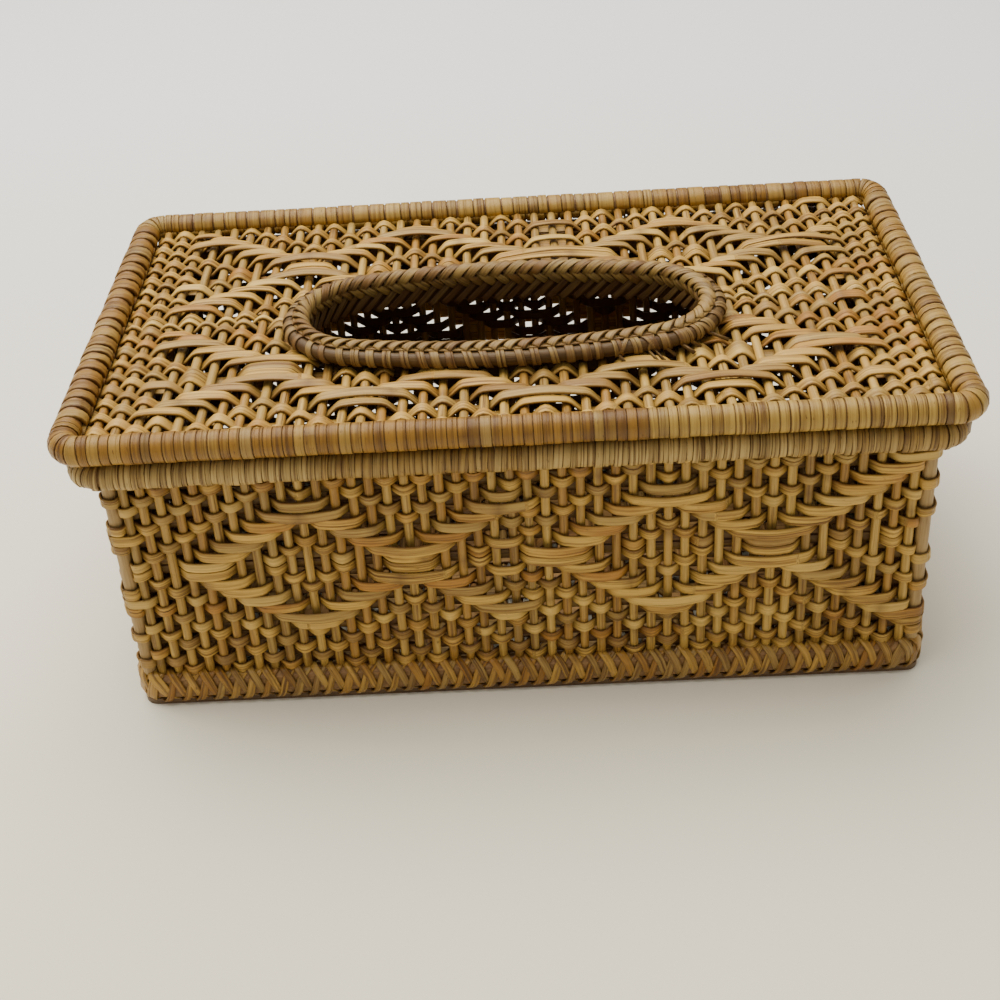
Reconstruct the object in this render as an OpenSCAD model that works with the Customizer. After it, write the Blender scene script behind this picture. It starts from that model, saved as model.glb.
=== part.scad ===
// Tissue box cover woven from rattan: a box of round stakes and flat weavers,
// and a lift-off lid with an oval opening.
// The origin is on the ground under the middle of the box. X runs along the
// box, Y to its back and Z up.

/* [Box walls] */
// Length between the stake lines of the two end walls
wall_l = 253; // [200:1:320]
// Width between the stake lines of the front and back walls
wall_w = 143; // [120:1:200]
// Height of the woven part of a wall
weave_h = 78; // [50:1:120]
// Stakes along the front wall, the two corner posts counted
long_stakes = 48; // [36:1:52]
// Stakes along an end wall, the two corner posts counted
end_stakes = 28; // [20:1:30]
// Rows of flat weavers in a wall
wall_rows = 22; // [14:1:24]
// Diameter of a round stake
stake_d = 3; // [2.4:0.1:3.2]
// Diameter of a corner post
post_d = 4.5; // [3.6:0.1:5]
// Gap between a corner post and the stake beside it
post_gap = 0.6; // [0.3:0.1:2]

/* [Flat weavers] */
// Thickness of a flat weaver
cane_t = 0.9; // [0.6:0.1:1]
// Gap between two rows of a wall
row_gap = 0.5; // [0.3:0.1:1]
// Gap between two rows of the lid
lid_row_gap = 0.8; // [0.4:0.1:1.2]
// Stakes from one diamond to the next along a wall
diamond_step = 21; // [16:1:24]
// Stakes from the tip of a diamond to its side
diamond_half = 6; // [4:1:8]

/* [Foot and floor] */
// Height of the flat runner that the box stands on
runner_h = 2.2; // [1.5:0.1:4]
// Width of the runner
runner_w = 4.4; // [3:0.1:6]
// Height of the foot rail
foot_h = 9.6; // [8:0.1:14]
// Thickness of the foot rail
foot_t = 6; // [5.6:0.1:8]
// Bevel along the edges of the foot rail
foot_bevel = 1.4; // [0.8:0.1:2]
// Thickness of one strip of the crossed lashing on the foot
lash_t = 0.7; // [0.4:0.1:1]
// Width of a strip of that lashing
lash_w = 2.4; // [1.6:0.1:2.6]
// Flat canes across the floor
floor_rows = 13; // [9:1:16]
// Stakes that a floor cane passes over, then under
floor_span = 4; // [2:1:6]

/* [Box rim] */
// Diameter of the outer rim hoop, without its wrapping
hoop_d = 6.8; // [5.6:0.1:8]
// Diameter of the hoop inside the wall
inner_hoop_d = 3.2; // [2.4:0.1:4]
// Thickness of the wrapping on the outer hoop
rim_wrap_t = 0.7; // [0.4:0.1:1]
// Width of one turn of that wrapping
rim_wrap_w = 2.3; // [1.8:0.1:4]
// Corner radius of the outer hoop, along its middle
hoop_corner_r = 8; // [7.6:0.1:12]

/* [Lid frame] */
// How much longer the wrapped lid is than the stake lines of the walls
lid_more_l = 27; // [21:1:37]
// How much wider the wrapped lid is than those stake lines
lid_more_w = 22; // [20:1:32]
// Diameter of the rod in the lid frame
frame_d = 8.2; // [7:0.1:9]
// Thickness of the flat cane wrapped on the frame
frame_wrap_t = 0.75; // [0.4:0.05:1]
// Width of one turn of that cane
frame_wrap_w = 3.7; // [2.6:0.1:6]
// Corner radius of the lid frame, along the middle of its rod
frame_corner_r = 6.5; // [6:0.1:10]
// How far the weave of the lid lies below the middle of its frame
lid_drop = 1.8; // [0:0.1:2.2]
// Stakes across the lid
lid_stakes_n = 42; // [30:2:44]
// Width of a strand in the twined middle row of the lid
twine_w = 2.2; // [1.4:0.1:2.6]
// Rows of flat weavers in each half of the lid
lid_half_rows = 17; // [12:1:18]
// Stakes from one point of the zigzag on the lid to the next
zigzag_half = 7; // [5:1:9]

/* [Locating band] */
// Height of the band under the lid
band_h = 8.5; // [7:0.1:12]
// Thickness of that band
band_t = 1.5; // [1:0.1:2.5]
// Play between the band and the hoop inside the box
band_play = 1; // [0.6:0.1:2]

/* [Opening] */
// Length of the opening, along its plaited edge
opening_l = 140; // [110:1:160]
// Width of the opening, along its plaited edge
opening_w = 56; // [44:1:64]
// Middle of the opening along the lid, from the middle of the lid
opening_x = -2.5; // [-10:0.5:10]
// Middle of the opening across the lid: the real one lies nearer the front
opening_y = -11; // [-14:0.5:14]
// Radius of the plaited edge at the two ends
opening_end_r = 14; // [12:0.5:18]
// Thickness of the upright strip inside the opening
collar_t = 1.5; // [1:0.1:2.5]
// Depth of that strip below the woven lid
collar_drop = 0.6; // [0.3:0.1:3]
// Diameter of the rod round the opening
ring_d = 4.6; // [3.6:0.1:6]
// Thickness of the lashing over that rod
ring_lash_t = 0.5; // [0.3:0.1:0.8]
// Width of one turn of that lashing
ring_lash_w = 2.4; // [1.4:0.1:3]
// Pitch of the lashing along the rod
ring_lash_step = 5.6; // [4.5:0.1:10]
// Width of the plaited edge
plait_w = 5.2; // [4:0.1:6.4]
// Height of the flat cane under the plait
plait_core_h = 0.8; // [0.6:0.1:1.6]
// Thickness of the slanted strands of the plait
plait_t = 1; // [0.8:0.1:1.6]
// Height of the row of strands that the plait has on its inner face
plait_face_h = 5; // [3:0.1:7]
// Pitch of the strands along the edge
plait_step = 5; // [4:0.1:7]
// Gap between two strands of the plait
plait_gap = 0.4; // [0.3:0.1:0.8]

/* [Hidden] */

// Clearance between canes that press on each other
fit = 0.1;
// Clearance between the resting lid and the box
seat_gap = 0.3;
// Half of the flat stretch of a weaver over a stake
crest_half = 1;
// Facets of a round rod where a mesh is made of it
$fn = 32;

// Distance from a stake line to the middle of a weaver that passes it
sway = stake_d / 2 + fit + cane_t / 2;
// Distance from a stake line to the face of the woven wall
wall_half = sway + cane_t / 2;

// Heights from the ground up
foot_top = runner_h + foot_h;
floor_z = runner_h + foot_h / 2 - stake_d / 2 + cane_t;
weave_z = foot_top + fit;
row_pitch = weave_h / wall_rows;
rim_r = hoop_d / 2 + rim_wrap_t;
rim_z = weave_z + weave_h + rim_r + fit;
rim_top = rim_z + rim_r;
frame_r = frame_d / 2 + frame_wrap_t;
frame_z = rim_top + seat_gap + frame_r;
lid_z = frame_z - lid_drop;
lid_under = lid_z - wall_half;
lid_top = lid_z + wall_half;
stake_top = rim_z + hoop_d / 2 - fit;

// Places of the hoops, measured out from the stake line
hoop_out = stake_d / 2 + fit + rim_r;
inner_hoop_in = stake_d / 2 + fit + inner_hoop_d / 2;
hoop_l = wall_l + 2 * hoop_out;
hoop_w = wall_w + 2 * hoop_out;

// A corner post nests in the corner of the outer hoop
post_shift = (hoop_corner_r - rim_r - post_d / 2 - fit) / sqrt(2);
post_x = hoop_l / 2 - hoop_corner_r + post_shift;
post_y = hoop_w / 2 - hoop_corner_r + post_shift;
// How far a weaver cuts across the corner as it turns round the post
corner_cut = (wall_l / 2 + sway) + (wall_w / 2 + sway) - post_x - post_y
    - sqrt(2) * (post_d / 2 + fit + cane_t / 2);
// The inner hoop turns its corner inside the post
inner_corner_r = max(inner_hoop_d,
    ((post_d / 2 + inner_hoop_d / 2 + fit) / sqrt(2)
        - (post_x - wall_l / 2 + inner_hoop_in)) / (1 - 1 / sqrt(2)));

// From the middle of a wall to the last stake before the corner post
post_room = post_d / 2 + post_gap + stake_d / 2;
long_pitch = 2 * (post_x - post_room) / (long_stakes - 3);
end_pitch = 2 * (post_y - post_room) / (end_stakes - 3);

// Lid frame along the middle of its rod
frame_l = wall_l + lid_more_l - 2 * frame_r;
frame_w = wall_w + lid_more_w - 2 * frame_r;
lid_in_l = frame_l - 2 * frame_r - 2 * fit;
lid_in_w = frame_w - 2 * frame_r - 2 * fit;
lid_in_corner_r = max(0, frame_corner_r - frame_r - fit);
// Half the room that the twined middle row takes
twine_half = twine_w + fit;
lid_pitch = lid_in_l / lid_stakes_n;
lid_row_pitch = (lid_in_w / 2 - twine_half) / lid_half_rows;
lid_row_w = lid_row_pitch - lid_row_gap;

// The opening is an oval of four arcs. These are its end arcs and its long arcs.
oval_end_x = opening_l / 2 - opening_end_r;
oval_long_r = (pow(opening_l / 2, 2) + pow(opening_w / 2, 2) - opening_l * opening_end_r)
    / (opening_w - 2 * opening_end_r);
oval_long_y = oval_long_r - opening_w / 2;
oval_turn = atan2(oval_end_x, oval_long_y);
// An end arc and a long arc: place of the middle, radius, first angle and turn
oval_arcs = [
    [[oval_end_x, 0, 0], opening_end_r, oval_turn - 90, 180 - 2 * oval_turn],
    [[0, -oval_long_y, 0], oval_long_r, 90 - oval_turn, 2 * oval_turn]
];

// Round the opening, measured out from the plaited edge
ring_lash_r = ring_d / 2 + ring_lash_t;
collar_out = -plait_w / 2 + collar_t + fit;
ring_out = collar_out + fit + ring_lash_r;
ring_z = lid_top + fit + ring_lash_r;
plait_z = ring_z + ring_lash_r + fit;
plait_face_out = collar_out - collar_t - fit;
cane_end_out = collar_out + fit;

// Colours of the canes
straw = "#c8a569";
amber = "#b4803f";
grey_beige = "#a8946c";
olive_brown = "#80683f";
dark_brown = "#4a3320";

// A bar of a given profile along X, from one place to the other
module bar(x0, x1) {
    translate([x0, 0, 0])
        rotate([90, 0, 90])
            linear_extrude(x1 - x0)
                children();
}

// A quarter turn of the same profile
module bend(turn_r) {
    rotate_extrude(angle = 90, $fn = 64)
        translate([turn_r, 0])
            children();
}

// A closed frame with round corners: the profile is swept round a rectangle
module frame_loop(l, w, corner_r) {
    for (s = [0, 180]) rotate([0, 0, s]) {
        translate([0, w / 2, 0])
            mirror([0, 1, 0])
                bar(-(l / 2 - corner_r), l / 2 - corner_r) mirror([1, 0]) children();
        rotate([0, 0, 90])
            translate([0, -l / 2, 0])
                bar(-(w / 2 - corner_r), w / 2 - corner_r) mirror([1, 0]) children();
        translate([l / 2 - corner_r, w / 2 - corner_r, 0])
            bend(corner_r) children();
        mirror([1, 0, 0])
            translate([l / 2 - corner_r, w / 2 - corner_r, 0])
                bend(corner_r) children();
    }
}

// A turn of flat cane round a rod, in the YZ plane
module wrap_turn(rod_r, t, w) {
    translate([-w / 2, 0, 0])
        rotate([90, 0, 90])
            linear_extrude(w)
                difference() {
                    circle(r = rod_r + t);
                    circle(r = rod_r);
                }
}

// Turns of cane along one straight side that runs along X
module wrapped_side(length, rod_r, t, w, gap) {
    turns = floor(length / (w + gap));
    pitch = length / turns;
    for (i = [0 : turns - 1])
        translate([-length / 2 + (i + 0.5) * pitch, 0, 0])
            wrap_turn(rod_r, t, pitch - gap);
}

// Turns of cane round a bent corner, as wedges
module wrapped_bend(corner_r, rod_r, t, w, gap) {
    turns = max(2, round(90 * PI / 180 * (corner_r + rod_r) / (w + gap)));
    step = 90 / turns;
    gap_turn = gap / (corner_r + rod_r) * 180 / PI;
    for (i = [0 : turns - 1])
        rotate([0, 0, i * step + gap_turn / 2])
            rotate_extrude(angle = step - gap_turn, $fn = 64)
                translate([corner_r, 0])
                    difference() {
                        circle(r = rod_r + t);
                        circle(r = rod_r);
                    }
}

// A whole frame wrapped in flat cane
module wrapped_loop(l, w, corner_r, rod_r, t, turn_w, gap) {
    for (s = [-1, 1]) {
        translate([0, s * w / 2, 0])
            wrapped_side(l - 2 * corner_r, rod_r, t, turn_w, gap);
        translate([s * l / 2, 0, 0])
            rotate([0, 0, 90])
                wrapped_side(w - 2 * corner_r, rod_r, t, turn_w, gap);
    }
    for (mx = [0, 1]) mirror([mx, 0, 0])
        for (my = [0, 1]) mirror([0, my, 0])
            translate([l / 2 - corner_r, w / 2 - corner_r, 0])
                wrapped_bend(corner_r, rod_r, t, turn_w, gap);
}

// Row that the long floats of a wall reach at stake s. It falls to the tip of
// a diamond, rises to the crossing beside it and falls again.
function diamond_row(s) =
    let (k = s <= 4 * diamond_half ? s : s - diamond_step,
         tip = 2 * diamond_half,
         low = diamond_half - 2)
    k <= tip ? low + tip - k
        : k <= 3 * diamond_half ? low + k - tip
            : low + 4 * diamond_half - k;

// Side of the wall on which row r passes stake s: 1 in front, -1 behind. Each
// weaver passes in front of one stake and behind two, and the lower half of
// the wall mirrors the upper half.
function wall_side(s, r) =
    let (mid = floor(wall_rows / 2) - 1,
         q = r <= mid ? r : 2 * mid + 1 - r,
         d = q - diamond_row(s))
    (d == 0 || abs(d) % 3 == 1) ? 1 : -1;

// The same for the lid, with zigzag lines. r counts from the frame inwards.
function lid_side(s, r) =
    let (z = 1 + abs((s + zigzag_half - 1) % (2 * zigzag_half) - zigzag_half),
         d = r - z)
    (d == 0 || abs(d) % 3 == 1) ? 1 : -1;

// Slope of a weaver between two stakes, as the tangent of half its angle
function half_slope(pitch) = tan(atan2(2 * sway, pitch - 2 * crest_half) / 2);

// Points along one face of a weaver. sides holds the side on which it passes
// each stake, and off is the distance of the face from its middle.
function weaver_edge(places, sides, off, lean) = [
    for (i = [0 : len(places) - 1])
        let (s = sides[i],
             reach = crest_half + s * off * lean,
             first = i == 0 || sides[i - 1] != s,
             last = i == len(places) - 1 || sides[i + 1] != s)
        for (j = [0, 1])
            if (j == 0 ? first : last)
                [places[i] + (j == 0 ? -reach : reach), s * sway + off]
];

function reversed(v) = [for (i = [len(v) - 1 : -1 : 0]) v[i]];

// End of one face of a weaver at x. With a cut it turns half round a corner,
// and otherwise it stops there. dir is 1 for the end towards +X.
function weaver_end(x, side, off, cut, dir) =
    cut == 0 ? [[x, side * sway + off]]
        : [[x + dir * off * tan(22.5), sway + off],
           [x + dir * (off * tan(22.5) + off + cut), sway - cut]];

// How far a cane draws back from a frame where the inside corner of that frame
// is round. past is how far the edge of the cane lies past the start of the bend.
function corner_back(inner_r, past) =
    inner_r - sqrt(max(0, pow(inner_r, 2) - pow(max(0, past), 2)));

// A flat weaver along X that winds between stakes, from x0 to x1
module weaver(places, sides, pitch, x0, x1, w, cut = 0) {
    lean = half_slope(pitch);
    n = len(sides) - 1;
    half = cane_t / 2;
    translate([0, 0, -w / 2])
        linear_extrude(w)
            polygon(concat(
                reversed(weaver_end(x0, sides[0], half, cut, -1)),
                weaver_edge(places, sides, half, lean),
                weaver_end(x1, sides[n], half, cut, 1),
                reversed(weaver_end(x1, sides[n], -half, cut, 1)),
                reversed(weaver_edge(places, sides, -half, lean)),
                weaver_end(x0, sides[0], -half, cut, -1)
            ));
}

// Places of the stakes between the two corner posts
function stake_places(count, pitch) =
    [for (i = [1 : count - 2]) (i - (count - 1) / 2) * pitch];

// Sides on which row r passes those stakes. Each row leaves a corner in front
// of the first stake.
function row_sides(count, start, r) = [
    for (i = [1 : count - 2])
        i == 1 || i == count - 2 ? 1 : wall_side(i + start, r)
];

module stake_row(count, pitch) {
    for (x = stake_places(count, pitch))
        translate([x, 0, weave_z])
            cylinder(d = stake_d, h = stake_top - weave_z);
}

// A woven wall along X, with its outer face towards -Y
module wall_weave(count, pitch, start, reach, cut) {
    places = stake_places(count, pitch);
    for (r = [1 : wall_rows])
        translate([0, 0, weave_z + weave_h - (r - 0.5) * row_pitch])
            mirror([0, 1, 0])
                weaver(places, row_sides(count, start, r), pitch,
                       -reach, reach, row_pitch - row_gap, cut);
}

module on_front() { translate([0, -wall_w / 2, 0]) children(); }
module on_back() { rotate([0, 0, 180]) on_front() children(); }
module on_left() { rotate([0, 0, -90]) translate([0, -wall_l / 2, 0]) children(); }
module on_right() { rotate([0, 0, 180]) on_left() children(); }

module base_runner() {
    color(dark_brown)
        translate([0, 0, runner_h / 2])
            frame_loop(wall_l, wall_w, hoop_corner_r - hoop_out)
                square([runner_w, runner_h], center = true);
}

// Cross-section of the foot rail
module foot_profile() {
    x = foot_t / 2;
    y = foot_h / 2;
    polygon([
        [-x + foot_bevel, -y], [x - foot_bevel, -y], [x, -y + foot_bevel],
        [x, y - foot_bevel], [x - foot_bevel, y], [-x + foot_bevel, y],
        [-x, y - foot_bevel], [-x, -y + foot_bevel]
    ]);
}

module foot_rail() {
    color(amber)
        translate([0, 0, runner_h + foot_h / 2])
            frame_loop(wall_l, wall_w, foot_t)
                foot_profile();
}

// One strip that runs up and down across the face of the foot rail
module zigzag_strip(count, pitch, start) {
    low = -foot_h / 2 + foot_bevel + lash_w / 2;
    high = -low;
    half = lash_w / 2 / cos(atan2(high - low, pitch));
    middle = [for (i = [0 : count - 1])
        [(i - (count - 1) / 2) * pitch, (i + start) % 2 == 0 ? low : high]];
    rotate([90, 0, 0])
        linear_extrude(lash_t)
            polygon(concat(
                [for (p = middle) [p[0], p[1] + half]],
                reversed([for (p = middle) [p[0], p[1] - half]])
            ));
}

module foot_lashing_side(count, pitch) {
    translate([0, -foot_t / 2, runner_h + foot_h / 2]) {
        zigzag_strip(count, pitch, 0);
        translate([0, -lash_t, 0])
            zigzag_strip(count, pitch, 1);
    }
}

module foot_lashing() {
    color(straw) {
        on_front() foot_lashing_side(long_stakes - 2, long_pitch);
        on_back() foot_lashing_side(long_stakes - 2, long_pitch);
        on_left() foot_lashing_side(end_stakes - 2, end_pitch);
        on_right() foot_lashing_side(end_stakes - 2, end_pitch);
    }
}

// The stakes of the floor keep clear of the round corners of the foot rail
floor_pitch = (wall_l - 2 * foot_t - stake_d) / (long_stakes - 3);

module floor_stakes() {
    reach = wall_w / 2 - foot_t / 2 - fit;
    color(straw)
        for (x = stake_places(long_stakes, floor_pitch))
            translate([x, -reach, floor_z])
                rotate([-90, 0, 0])
                    cylinder(d = stake_d, h = 2 * reach);
}

module floor_weave() {
    span = wall_w - foot_t - 2 * fit;
    pitch = span / floor_rows;
    w = pitch - lid_row_gap;
    places = stake_places(long_stakes, floor_pitch);
    color(straw)
        for (r = [0 : floor_rows - 1]) {
            y = -span / 2 + (r + 0.5) * pitch;
            reach = wall_l / 2 - foot_t / 2 - fit
                - corner_back(foot_t / 2, abs(y) + w / 2 - (wall_w / 2 - foot_t));
            translate([0, y, floor_z])
                rotate([90, 0, 0])
                    weaver(places,
                        [for (i = [0 : len(places) - 1])
                            (floor(i / floor_span) + r) % 2 == 0 ? 1 : -1],
                        floor_pitch, -reach, reach, w);
        }
}

module corner_posts() {
    color(straw)
        for (sx = [-1, 1])
            for (sy = [-1, 1])
                translate([sx * post_x, sy * post_y, weave_z])
                    cylinder(d = post_d, h = stake_top - weave_z);
}

module front_stakes() { color(straw) on_front() stake_row(long_stakes, long_pitch); }
module back_stakes() { color(straw) on_back() stake_row(long_stakes, long_pitch); }
module left_stakes() { color(straw) on_left() stake_row(end_stakes, end_pitch); }
module right_stakes() { color(straw) on_right() stake_row(end_stakes, end_pitch); }

// The rows of the front and back walls turn the corners
module long_weave() {
    wall_weave(long_stakes, long_pitch, 1, wall_l / 2 + sway - corner_cut, corner_cut);
}

// The rows of the end walls meet them there
module end_weave() {
    wall_weave(end_stakes, end_pitch, 3, wall_w / 2 + sway - corner_cut - fit, 0);
}

module front_weave() { color(straw) on_front() long_weave(); }
module back_weave() { color(straw) on_back() long_weave(); }
module left_weave() { color(straw) on_left() end_weave(); }
module right_weave() { color(straw) on_right() end_weave(); }

module rim_hoop() {
    color(amber)
        translate([0, 0, rim_z])
            frame_loop(hoop_l, hoop_w, hoop_corner_r)
                circle(d = hoop_d);
}

module rim_inner_hoop() {
    color(amber)
        translate([0, 0, rim_z])
            frame_loop(wall_l - 2 * inner_hoop_in, wall_w - 2 * inner_hoop_in,
                       inner_corner_r)
                circle(d = inner_hoop_d);
}

module rim_wrap() {
    color(grey_beige)
        translate([0, 0, rim_z])
            wrapped_loop(hoop_l, hoop_w, hoop_corner_r, hoop_d / 2,
                         rim_wrap_t, rim_wrap_w, fit);
}

module lid_frame() {
    color(amber)
        translate([0, 0, frame_z])
            frame_loop(frame_l, frame_w, frame_corner_r)
                circle(d = frame_d);
}

module lid_frame_wrap() {
    color(straw)
        translate([0, 0, frame_z])
            wrapped_loop(frame_l, frame_w, frame_corner_r, frame_d / 2,
                         frame_wrap_t, frame_wrap_w, fit);
}

// Half the length of the oval at y, on a line that lies out from its edge
function oval_x(y, out) =
    abs(y) > (opening_end_r + out) * cos(oval_turn)
        ? sqrt(max(0, pow(oval_long_r + out, 2) - pow(abs(y) + oval_long_y, 2)))
        : oval_end_x + sqrt(pow(opening_end_r + out, 2) - y * y);

// Half the width of the oval at x, on a line that lies out from its edge
function oval_y(x, out) =
    abs(x) <= oval_end_x + (opening_end_r + out) * sin(oval_turn)
        ? sqrt(pow(oval_long_r + out, 2) - x * x) - oval_long_y
        : sqrt(max(0, pow(opening_end_r + out, 2) - pow(abs(x) - oval_end_x, 2)));

lid_places = [for (i = [1 : lid_stakes_n]) (i - (lid_stakes_n + 1) / 2) * lid_pitch];

// A stake of the lid at x, from one place to the other across the lid
module lid_stake(x, y0, y1) {
    translate([x, y0, lid_z])
        rotate([-90, 0, 0])
            cylinder(d = stake_d, h = y1 - y0);
}

module lid_stakes() {
    color(straw)
        for (x = lid_places) {
            near = max(0, abs(x - opening_x) - stake_d / 2);
            start = near < opening_l / 2 + cane_end_out ? oval_y(near, cane_end_out) : 0;
            if (start > 0) {
                lid_stake(x, -lid_in_w / 2, opening_y - start);
                lid_stake(x, opening_y + start, lid_in_w / 2);
            } else {
                lid_stake(x, -lid_in_w / 2, lid_in_w / 2);
            }
        }
}

// A lid weaver at y. Where it meets the opening it is cut in two. sides
// gives the side on which it passes each stake of the lid.
module lid_weaver(y, w, sides) {
    near = max(0, abs(y - opening_y) - w / 2);
    reach = oval_x(near, cane_end_out);
    clear = reach + stake_d / 2 + fit;
    side = lid_in_l / 2
        - corner_back(lid_in_corner_r, abs(y) + w / 2 - lid_in_w / 2 + lid_in_corner_r);
    left = [for (i = [0 : lid_stakes_n - 1]) if (lid_places[i] < opening_x - clear) i];
    right = [for (i = [0 : lid_stakes_n - 1]) if (lid_places[i] > opening_x + clear) i];
    translate([0, y, lid_z])
        rotate([90, 0, 0])
            if (near < opening_w / 2 + cane_end_out && reach > 0) {
                weaver([for (i = left) lid_places[i]], [for (i = left) sides[i]],
                       lid_pitch, -side, opening_x - reach, w);
                weaver([for (i = right) lid_places[i]], [for (i = right) sides[i]],
                       lid_pitch, opening_x + reach, side, w);
            } else {
                weaver(lid_places, sides, lid_pitch, -side, side, w);
            }
}

// The rows of one half of the lid: s is -1 for the front half and 1 for the back
module half_lid_weave(s) {
    for (r = [1 : lid_half_rows])
        lid_weaver(s * (lid_in_w / 2 - (r - 0.5) * lid_row_pitch), lid_row_w,
                   [for (i = [1 : lid_stakes_n]) lid_side(i, r)]);
}

module lid_weave_front() { color(straw) half_lid_weave(-1); }
module lid_weave_back() { color(straw) half_lid_weave(1); }

module lid_twining() {
    color(amber)
        for (m = [-1, 1])
            lid_weaver(m * twine_half / 2, twine_w,
                [for (i = [1 : lid_stakes_n]) i % 2 == 0 ? m : -m]);
}

module locating_band() {
    room = 2 * (inner_hoop_in + inner_hoop_d / 2 + band_play) + band_t;
    color(amber)
        translate([0, 0, lid_under - fit - band_h / 2])
            frame_loop(wall_l - room, wall_w - room, inner_corner_r)
                square([band_t, band_h], center = true);
}

// The oval as a flat shape, on a line that lies out from its edge
module oval_shape(out) {
    turn_x = oval_end_x + (opening_end_r + out) * sin(oval_turn);
    intersection() {
        translate([0, oval_long_y]) circle(r = oval_long_r + out, $fn = 256);
        translate([0, -oval_long_y]) circle(r = oval_long_r + out, $fn = 256);
        square([2 * turn_x, 2 * opening_w], center = true);
    }
    for (s = [-1, 1])
        translate([s * oval_end_x, 0])
            circle(r = opening_end_r + out, $fn = 128);
}

// An upright strip bent round the oval, between two lines out from its edge
module oval_strip(inner, outer, h) {
    linear_extrude(h)
        difference() {
            oval_shape(outer);
            oval_shape(inner);
        }
}

// A rod bent round the oval. Where two arcs meet it is drawn in by a hair.
module oval_rod(out, d) {
    end_r = opening_end_r + out;
    long_r = oval_long_r + out;
    end_gap = fit / end_r * 180 / PI;
    long_gap = fit / long_r * 180 / PI;
    for (s = [0, 180])
        rotate([0, 0, s]) {
            translate([oval_end_x, 0, 0])
                rotate([0, 0, -90 + oval_turn + end_gap / 2])
                    rotate_extrude(angle = 180 - 2 * oval_turn - end_gap, $fn = 64)
                        translate([end_r, 0])
                            circle(d = d);
            translate([0, -oval_long_y, 0])
                rotate([0, 0, 90 - oval_turn + long_gap / 2])
                    rotate_extrude(angle = 2 * oval_turn - long_gap, $fn = 128)
                        translate([long_r, 0])
                            circle(d = d);
        }
    for (mx = [0, 1]) mirror([mx, 0, 0])
        for (my = [0, 1]) mirror([0, my, 0])
            translate([oval_end_x, 0, 0])
                rotate([0, 0, 90 - oval_turn])
                    translate([end_r, 0, 0])
                        rotate([90, 0, 0])
                            cylinder(d = d - fit, h = d / 2, center = true);
}

// Puts its child at even places round the oval, on a line that lies out from
// its edge. There the middle of the arc is the origin and the place lies on +X.
// The child reads the radius as $arc_r and the angle of one step as $arc_step.
module round_oval(out, step) {
    for (s = [0, 180])
        rotate([0, 0, s])
            for (arc = oval_arcs) {
                r = arc[1] + out;
                n = round(r * arc[3] * PI / 180 / step);
                for (i = [0 : n - 1])
                    translate(arc[0])
                        rotate([0, 0, arc[2] + (i + 0.5) * arc[3] / n])
                            let ($arc_r = r, $arc_step = arc[3] / n)
                                children();
            }
}

// A short piece of a profile that is swept along such an arc
module arc_turn(w) {
    turn = w / $arc_r * 180 / PI;
    rotate([0, 0, -turn / 2])
        rotate_extrude(angle = turn, $fn = 64)
            translate([$arc_r, 0])
                children();
}

module opening_rod() {
    color(olive_brown)
        translate([opening_x, opening_y, ring_z])
            oval_rod(ring_out, ring_d);
}

module opening_lashing() {
    color(olive_brown)
        translate([opening_x, opening_y, ring_z])
            round_oval(ring_out, ring_lash_step)
                arc_turn(ring_lash_w)
                    difference() {
                        circle(r = ring_lash_r);
                        circle(d = ring_d);
                    }
}

module opening_collar() {
    low = lid_under - collar_drop;
    color(olive_brown)
        translate([opening_x, opening_y, low])
            oval_strip(collar_out - collar_t, collar_out, plait_z - fit - low);
}

module plait_core() {
    color(grey_beige)
        translate([opening_x, opening_y, plait_z])
            oval_strip(-plait_w / 2, plait_w / 2, plait_core_h);
}

// One strand of the row on top, slanted across the edge, as a flat shape
module top_strand() {
    turn = 180 / PI / $arc_r;
    lean = plait_w / 2 * turn;
    half = ($arc_step - sqrt(2) * plait_gap * turn) / 2;
    polygon([
        for (c = [[-plait_w / 2, -lean - half], [plait_w / 2, lean - half],
                  [plait_w / 2, lean + half], [-plait_w / 2, -lean + half]])
            ($arc_r + c[0]) * [cos(c[1]), sin(c[1])]
    ]);
}

// One strand of the row on the inner face, slanted upwards, as a plate that is
// deeper than the row
module face_strand() {
    lean = plait_face_h / 2;
    half = ($arc_r - plait_t) * tan($arc_step / 2) - plait_gap / sqrt(2);
    translate([$arc_r + plait_t, 0, 0])
        rotate([90, 0, -90])
            linear_extrude(4 * plait_t)
                polygon([
                    [-lean - half, 0], [-lean + half, 0],
                    [lean + half, plait_face_h], [lean - half, plait_face_h]
                ]);
}

module opening_plait() {
    color(grey_beige)
        translate([opening_x, opening_y, 0]) {
            translate([0, 0, plait_z + plait_core_h])
                linear_extrude(plait_t)
                    round_oval(0, plait_step)
                        top_strand();
            translate([0, 0, plait_z - fit - plait_face_h])
                intersection() {
                    oval_strip(plait_face_out - plait_t, plait_face_out, plait_face_h);
                    round_oval(plait_face_out, plait_step)
                        face_strand();
                }
        }
}

base_runner();
foot_rail();
foot_lashing();
floor_stakes();
floor_weave();
corner_posts();
front_stakes();
back_stakes();
left_stakes();
right_stakes();
front_weave();
back_weave();
left_weave();
right_weave();
rim_hoop();
rim_inner_hoop();
rim_wrap();
lid_frame();
lid_frame_wrap();
lid_stakes();
lid_weave_front();
lid_weave_back();
lid_twining();
locating_band();
opening_rod();
opening_lashing();
opening_collar();
plait_core();
opening_plait();
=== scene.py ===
# %% [markdown]
# A tissue box cover woven from rattan. The rigid frame comes ready made as CAD
# nodes, in metres, with the origin on the ground under the box, X along its
# front and Z up. This lesson dresses that frame: each cane is laid again as a
# bent strip with its own grain. Everything that is not replaced below keeps its
# CAD shape and only gets a finish. A photograph laid on the frame would be the
# quick way, but only real canes look right from every side.

# %% Load the frame
import functools
import math
import bpy
import numpy as np
from mathutils import Matrix


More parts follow.
